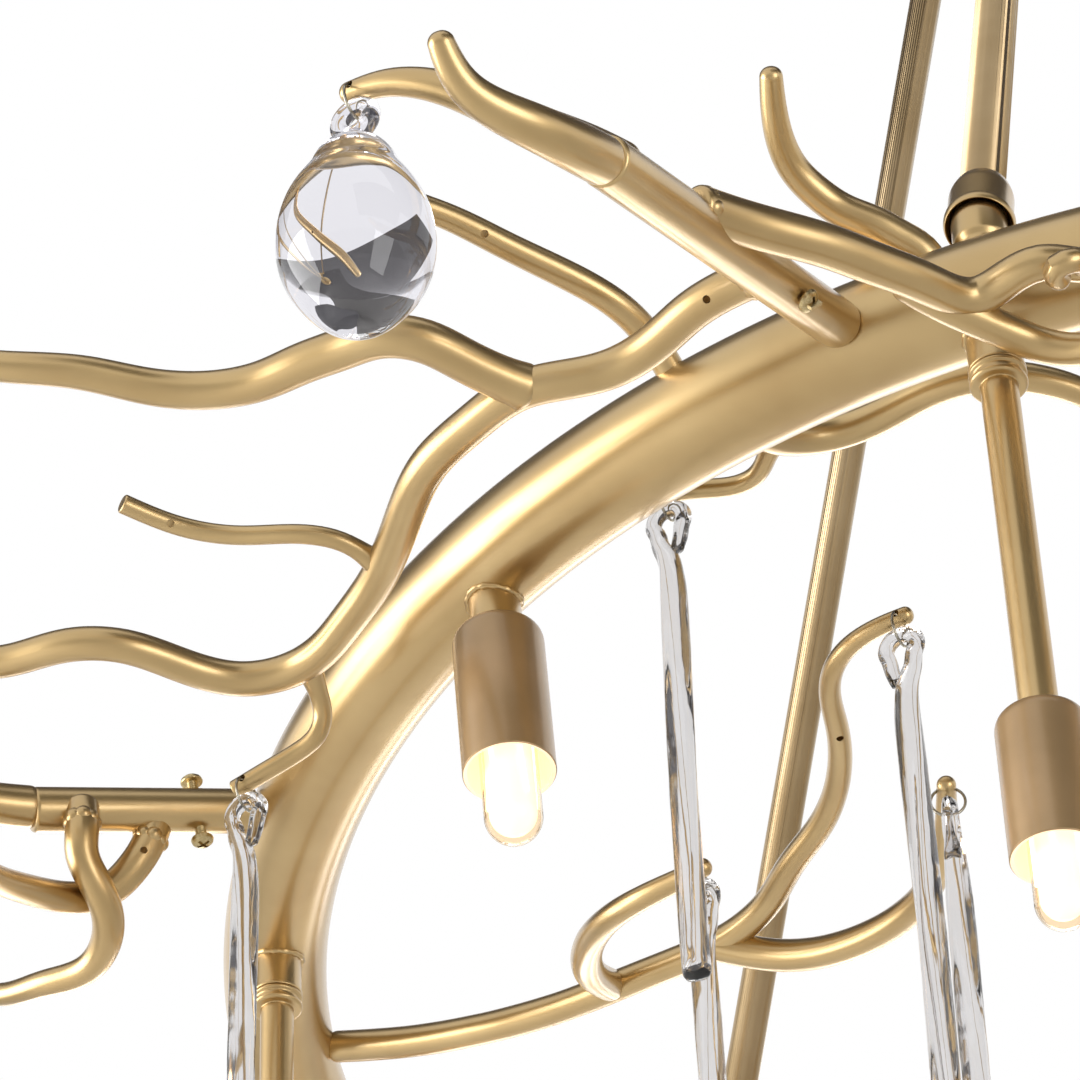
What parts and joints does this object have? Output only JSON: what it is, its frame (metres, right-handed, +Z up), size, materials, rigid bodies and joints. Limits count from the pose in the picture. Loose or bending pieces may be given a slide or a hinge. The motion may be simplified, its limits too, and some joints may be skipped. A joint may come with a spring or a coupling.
{
  "type": "chandelier",
  "caption": "Chandelier: a gold ring on leaning rods under a canopy, with forged branches, clear glass drops on wire rings and downward lamps in cups.",
  "frame": {"origin": "middle of the ceiling face, where the crossbar meets the ceiling box", "axes": "+Z up into the ceiling, -Y towards the first suspension rod, +X along the crossbar"},
  "size_m": [1.1826, 1.199, 1.444],
  "materials": {
    "gold_paint": "satin champagne gold paint on steel",
    "canopy_paint": "satin champagne gold paint on steel",
    "cup_paint": "satin gold paint, a little browner",
    "brushed_rod": "brushed, with a pale gold lacquer",
    "zinc_steel": "zinc plated",
    "brass_screw": "turned",
    "ring_wire": "drawn wire",
    "socket_plastic": "moulded",
    "bulb_glass": "clear tubular bulb",
    "clear_glass": "clear, fire polished"
  },
  "bodies": {
    "ceiling": {"ceiling_bracket": "zinc_steel", "canopy": "canopy_paint", "canopy_screws": "brass_screw"},
    "fixture": {"swivel_stem": "brushed_rod", "hub": "gold_paint", "hub_pins": "brass_screw", "suspension_rod_1": "brushed_rod", "suspension_rod_2": "brushed_rod", "suspension_rod_3": "brushed_rod", "rod_bells": "gold_paint", "main_ring": "gold_paint", "long_branch_1": "gold_paint", "long_branch_2": "gold_paint", "long_branch_3": "gold_paint", "short_branch_1": "gold_paint", "short_branch_2": "gold_paint", "short_branch_3": "gold_paint", "short_branch_4": "gold_paint", "short_branch_5": "gold_paint", "short_branch_6": "gold_paint", "upper_limbs": "gold_paint", "inner_limb_1": "gold_paint", "inner_limb_2": "gold_paint", "inner_limb_3": "gold_paint", "rising_limb_1": "gold_paint", "rising_limb_2": "gold_paint", "rising_limb_3": "gold_paint", "sleeve_screws": "brass_screw", "lamp_necks": "gold_paint", "lamp_rods": "gold_paint", "lamp_cups": "cup_paint", "lamp_sockets": "socket_plastic", "bulbs": "bulb_glass", "wire_rings": "ring_wire"},
    "glass_rod_1": {"glass_rod_1": "clear_glass"},
    "glass_rod_2": {"glass_rod_2": "clear_glass"},
    "glass_rod_3": {"glass_rod_3": "clear_glass"},
    "glass_rod_4": {"glass_rod_4": "clear_glass"},
    "glass_rod_5": {"glass_rod_5": "clear_glass"},
    "glass_rod_6": {"glass_rod_6": "clear_glass"},
    "glass_rod_7": {"glass_rod_7": "clear_glass"},
    "glass_rod_8": {"glass_rod_8": "clear_glass"},
    "glass_rod_9": {"glass_rod_9": "clear_glass"},
    "glass_rod_10": {"glass_rod_10": "clear_glass"},
    "glass_rod_11": {"glass_rod_11": "clear_glass"},
    "glass_rod_12": {"glass_rod_12": "clear_glass"},
    "glass_rod_13": {"glass_rod_13": "clear_glass"},
    "glass_rod_14": {"glass_rod_14": "clear_glass"},
    "glass_rod_15": {"glass_rod_15": "clear_glass"},
    "glass_rod_16": {"glass_rod_16": "clear_glass"},
    "glass_rod_17": {"glass_rod_17": "clear_glass"},
    "glass_rod_18": {"glass_rod_18": "clear_glass"},
    "glass_rod_19": {"glass_rod_19": "clear_glass"},
    "glass_rod_20": {"glass_rod_20": "clear_glass"},
    "glass_rod_21": {"glass_rod_21": "clear_glass"},
    "glass_egg_1": {"glass_egg_1": "clear_glass"},
    "glass_egg_2": {"glass_egg_2": "clear_glass"},
    "glass_egg_3": {"glass_egg_3": "clear_glass"}
  },
  "joints": [
    {"name": "hang_swivel", "type": "hinge", "parent": "ceiling", "child": "fixture", "pos_m": [0, 0, -0.01599], "axis": [1, 0, 0], "range_deg": [-15, 15]},
    {"name": "glass_rod_1_swing", "type": "hinge", "parent": "fixture", "child": "glass_rod_1", "pos_m": [-0.29157, -0.33526, -1.25688], "axis": [-0.1079, -0.9942, 0], "range_deg": [-15, 15]},
    {"name": "glass_rod_2_swing", "type": "hinge", "parent": "fixture", "child": "glass_rod_2", "pos_m": [0.43613, -0.08488, -1.25688], "axis": [0.9149, 0.4036, 0], "range_deg": [-15, 15]},
    {"name": "glass_rod_3_swing", "type": "hinge", "parent": "fixture", "child": "glass_rod_3", "pos_m": [-0.14456, 0.42014, -1.25688], "axis": [-0.807, 0.5905, 0], "range_deg": [-15, 15]},
    {"name": "glass_rod_4_swing", "type": "hinge", "parent": "fixture", "child": "glass_rod_4", "pos_m": [-0.13216, -0.34443, -1.19566], "axis": [-0.0886, -0.9961, 0], "range_deg": [-15, 15]},
    {"name": "glass_rod_5_swing", "type": "hinge", "parent": "fixture", "child": "glass_rod_5", "pos_m": [0.36436, 0.05776, -1.19566], "axis": [0.9069, 0.4213, 0], "range_deg": [-15, 15]},
    {"name": "glass_rod_6_swing", "type": "hinge", "parent": "fixture", "child": "glass_rod_6", "pos_m": [-0.2322, 0.28667, -1.19566], "axis": [-0.8183, 0.5747, 0], "range_deg": [-15, 15]},
    {"name": "glass_rod_7_swing", "type": "hinge", "parent": "fixture", "child": "glass_rod_7", "pos_m": [-0.07037, -0.29873, -1.23809], "axis": [0.1136, 0.9935, 0], "range_deg": [-15, 15]},
    {"name": "glass_rod_8_swing", "type": "hinge", "parent": "fixture", "child": "glass_rod_8", "pos_m": [0.29389, 0.08842, -1.23809], "axis": [-0.9172, -0.3984, 0], "range_deg": [-15, 15]},
    {"name": "glass_rod_9_swing", "type": "hinge", "parent": "fixture", "child": "glass_rod_9", "pos_m": [-0.22352, 0.2103, -1.23809], "axis": [0.8036, -0.5952, 0], "range_deg": [-15, 15]},
    {"name": "glass_rod_10_swing", "type": "hinge", "parent": "fixture", "child": "glass_rod_10", "pos_m": [-0.07678, -0.24288, -1.26834], "axis": [0.9446, 0.3283, 0], "range_deg": [-15, 15]},
    {"name": "glass_rod_11_swing", "type": "hinge", "parent": "fixture", "child": "glass_rod_11", "pos_m": [0.24874, 0.05495, -1.26834], "axis": [-0.7566, 0.6539, 0], "range_deg": [-15, 15]},
    {"name": "glass_rod_12_swing", "type": "hinge", "parent": "fixture", "child": "glass_rod_12", "pos_m": [-0.17195, 0.18794, -1.26834], "axis": [-0.1879, -0.9822, 0], "range_deg": [-15, 15]},
    {"name": "glass_rod_13_swing", "type": "hinge", "parent": "fixture", "child": "glass_rod_13", "pos_m": [-0.16863, -0.23737, -1.26801], "axis": [0.2612, 0.9653, 0], "range_deg": [-15, 15]},
    {"name": "glass_rod_14_swing", "type": "hinge", "parent": "fixture", "child": "glass_rod_14", "pos_m": [0.28989, -0.02735, -1.26801], "axis": [-0.9666, -0.2565, 0], "range_deg": [-15, 15]},
    {"name": "glass_rod_15_swing", "type": "hinge", "parent": "fixture", "child": "glass_rod_15", "pos_m": [-0.12126, 0.26472, -1.26801], "axis": [0.7054, -0.7088, 0], "range_deg": [-15, 15]},
    {"name": "glass_rod_16_swing", "type": "hinge", "parent": "fixture", "child": "glass_rod_16", "pos_m": [-0.43924, -0.33262, -1.27391], "axis": [-0.2868, -0.958, 0], "range_deg": [-15, 15]},
    {"name": "glass_rod_17_swing", "type": "hinge", "parent": "fixture", "child": "glass_rod_17", "pos_m": [0.50768, -0.21409, -1.27391], "axis": [0.973, 0.2306, 0], "range_deg": [-15, 15]},
    {"name": "glass_rod_18_swing", "type": "hinge", "parent": "fixture", "child": "glass_rod_18", "pos_m": [-0.06843, 0.54671, -1.27391], "axis": [-0.6863, 0.7274, 0], "range_deg": [-15, 15]},
    {"name": "glass_rod_19_swing", "type": "hinge", "parent": "fixture", "child": "glass_rod_19", "pos_m": [-0.5509, 0.00928, -1.27391], "axis": [-0.8168, -0.5769, 0], "range_deg": [-15, 15]},
    {"name": "glass_rod_20_swing", "type": "hinge", "parent": "fixture", "child": "glass_rod_20", "pos_m": [0.26741, -0.48173, -1.27391], "axis": [0.908, -0.4189, 0], "range_deg": [-15, 15]},
    {"name": "glass_rod_21_swing", "type": "hinge", "parent": "fixture", "child": "glass_rod_21", "pos_m": [0.28348, 0.47245, -1.27391], "axis": [-0.0912, 0.9958, 0], "range_deg": [-15, 15]},
    {"name": "glass_egg_1_swing", "type": "hinge", "parent": "fixture", "child": "glass_egg_1", "pos_m": [-0.14105, -0.56649, -1.20858], "axis": [-0.1518, -0.9884, 0], "range_deg": [-15, 15]},
    {"name": "glass_egg_2_swing", "type": "hinge", "parent": "fixture", "child": "glass_egg_2", "pos_m": [0.56112, 0.16109, -1.20858], "axis": [0.9319, 0.3627, 0], "range_deg": [-15, 15]},
    {"name": "glass_egg_3_swing", "type": "hinge", "parent": "fixture", "child": "glass_egg_3", "pos_m": [-0.42007, 0.4054, -1.20858], "axis": [-0.7801, 0.6257, 0], "range_deg": [-15, 15]}
  ]
}
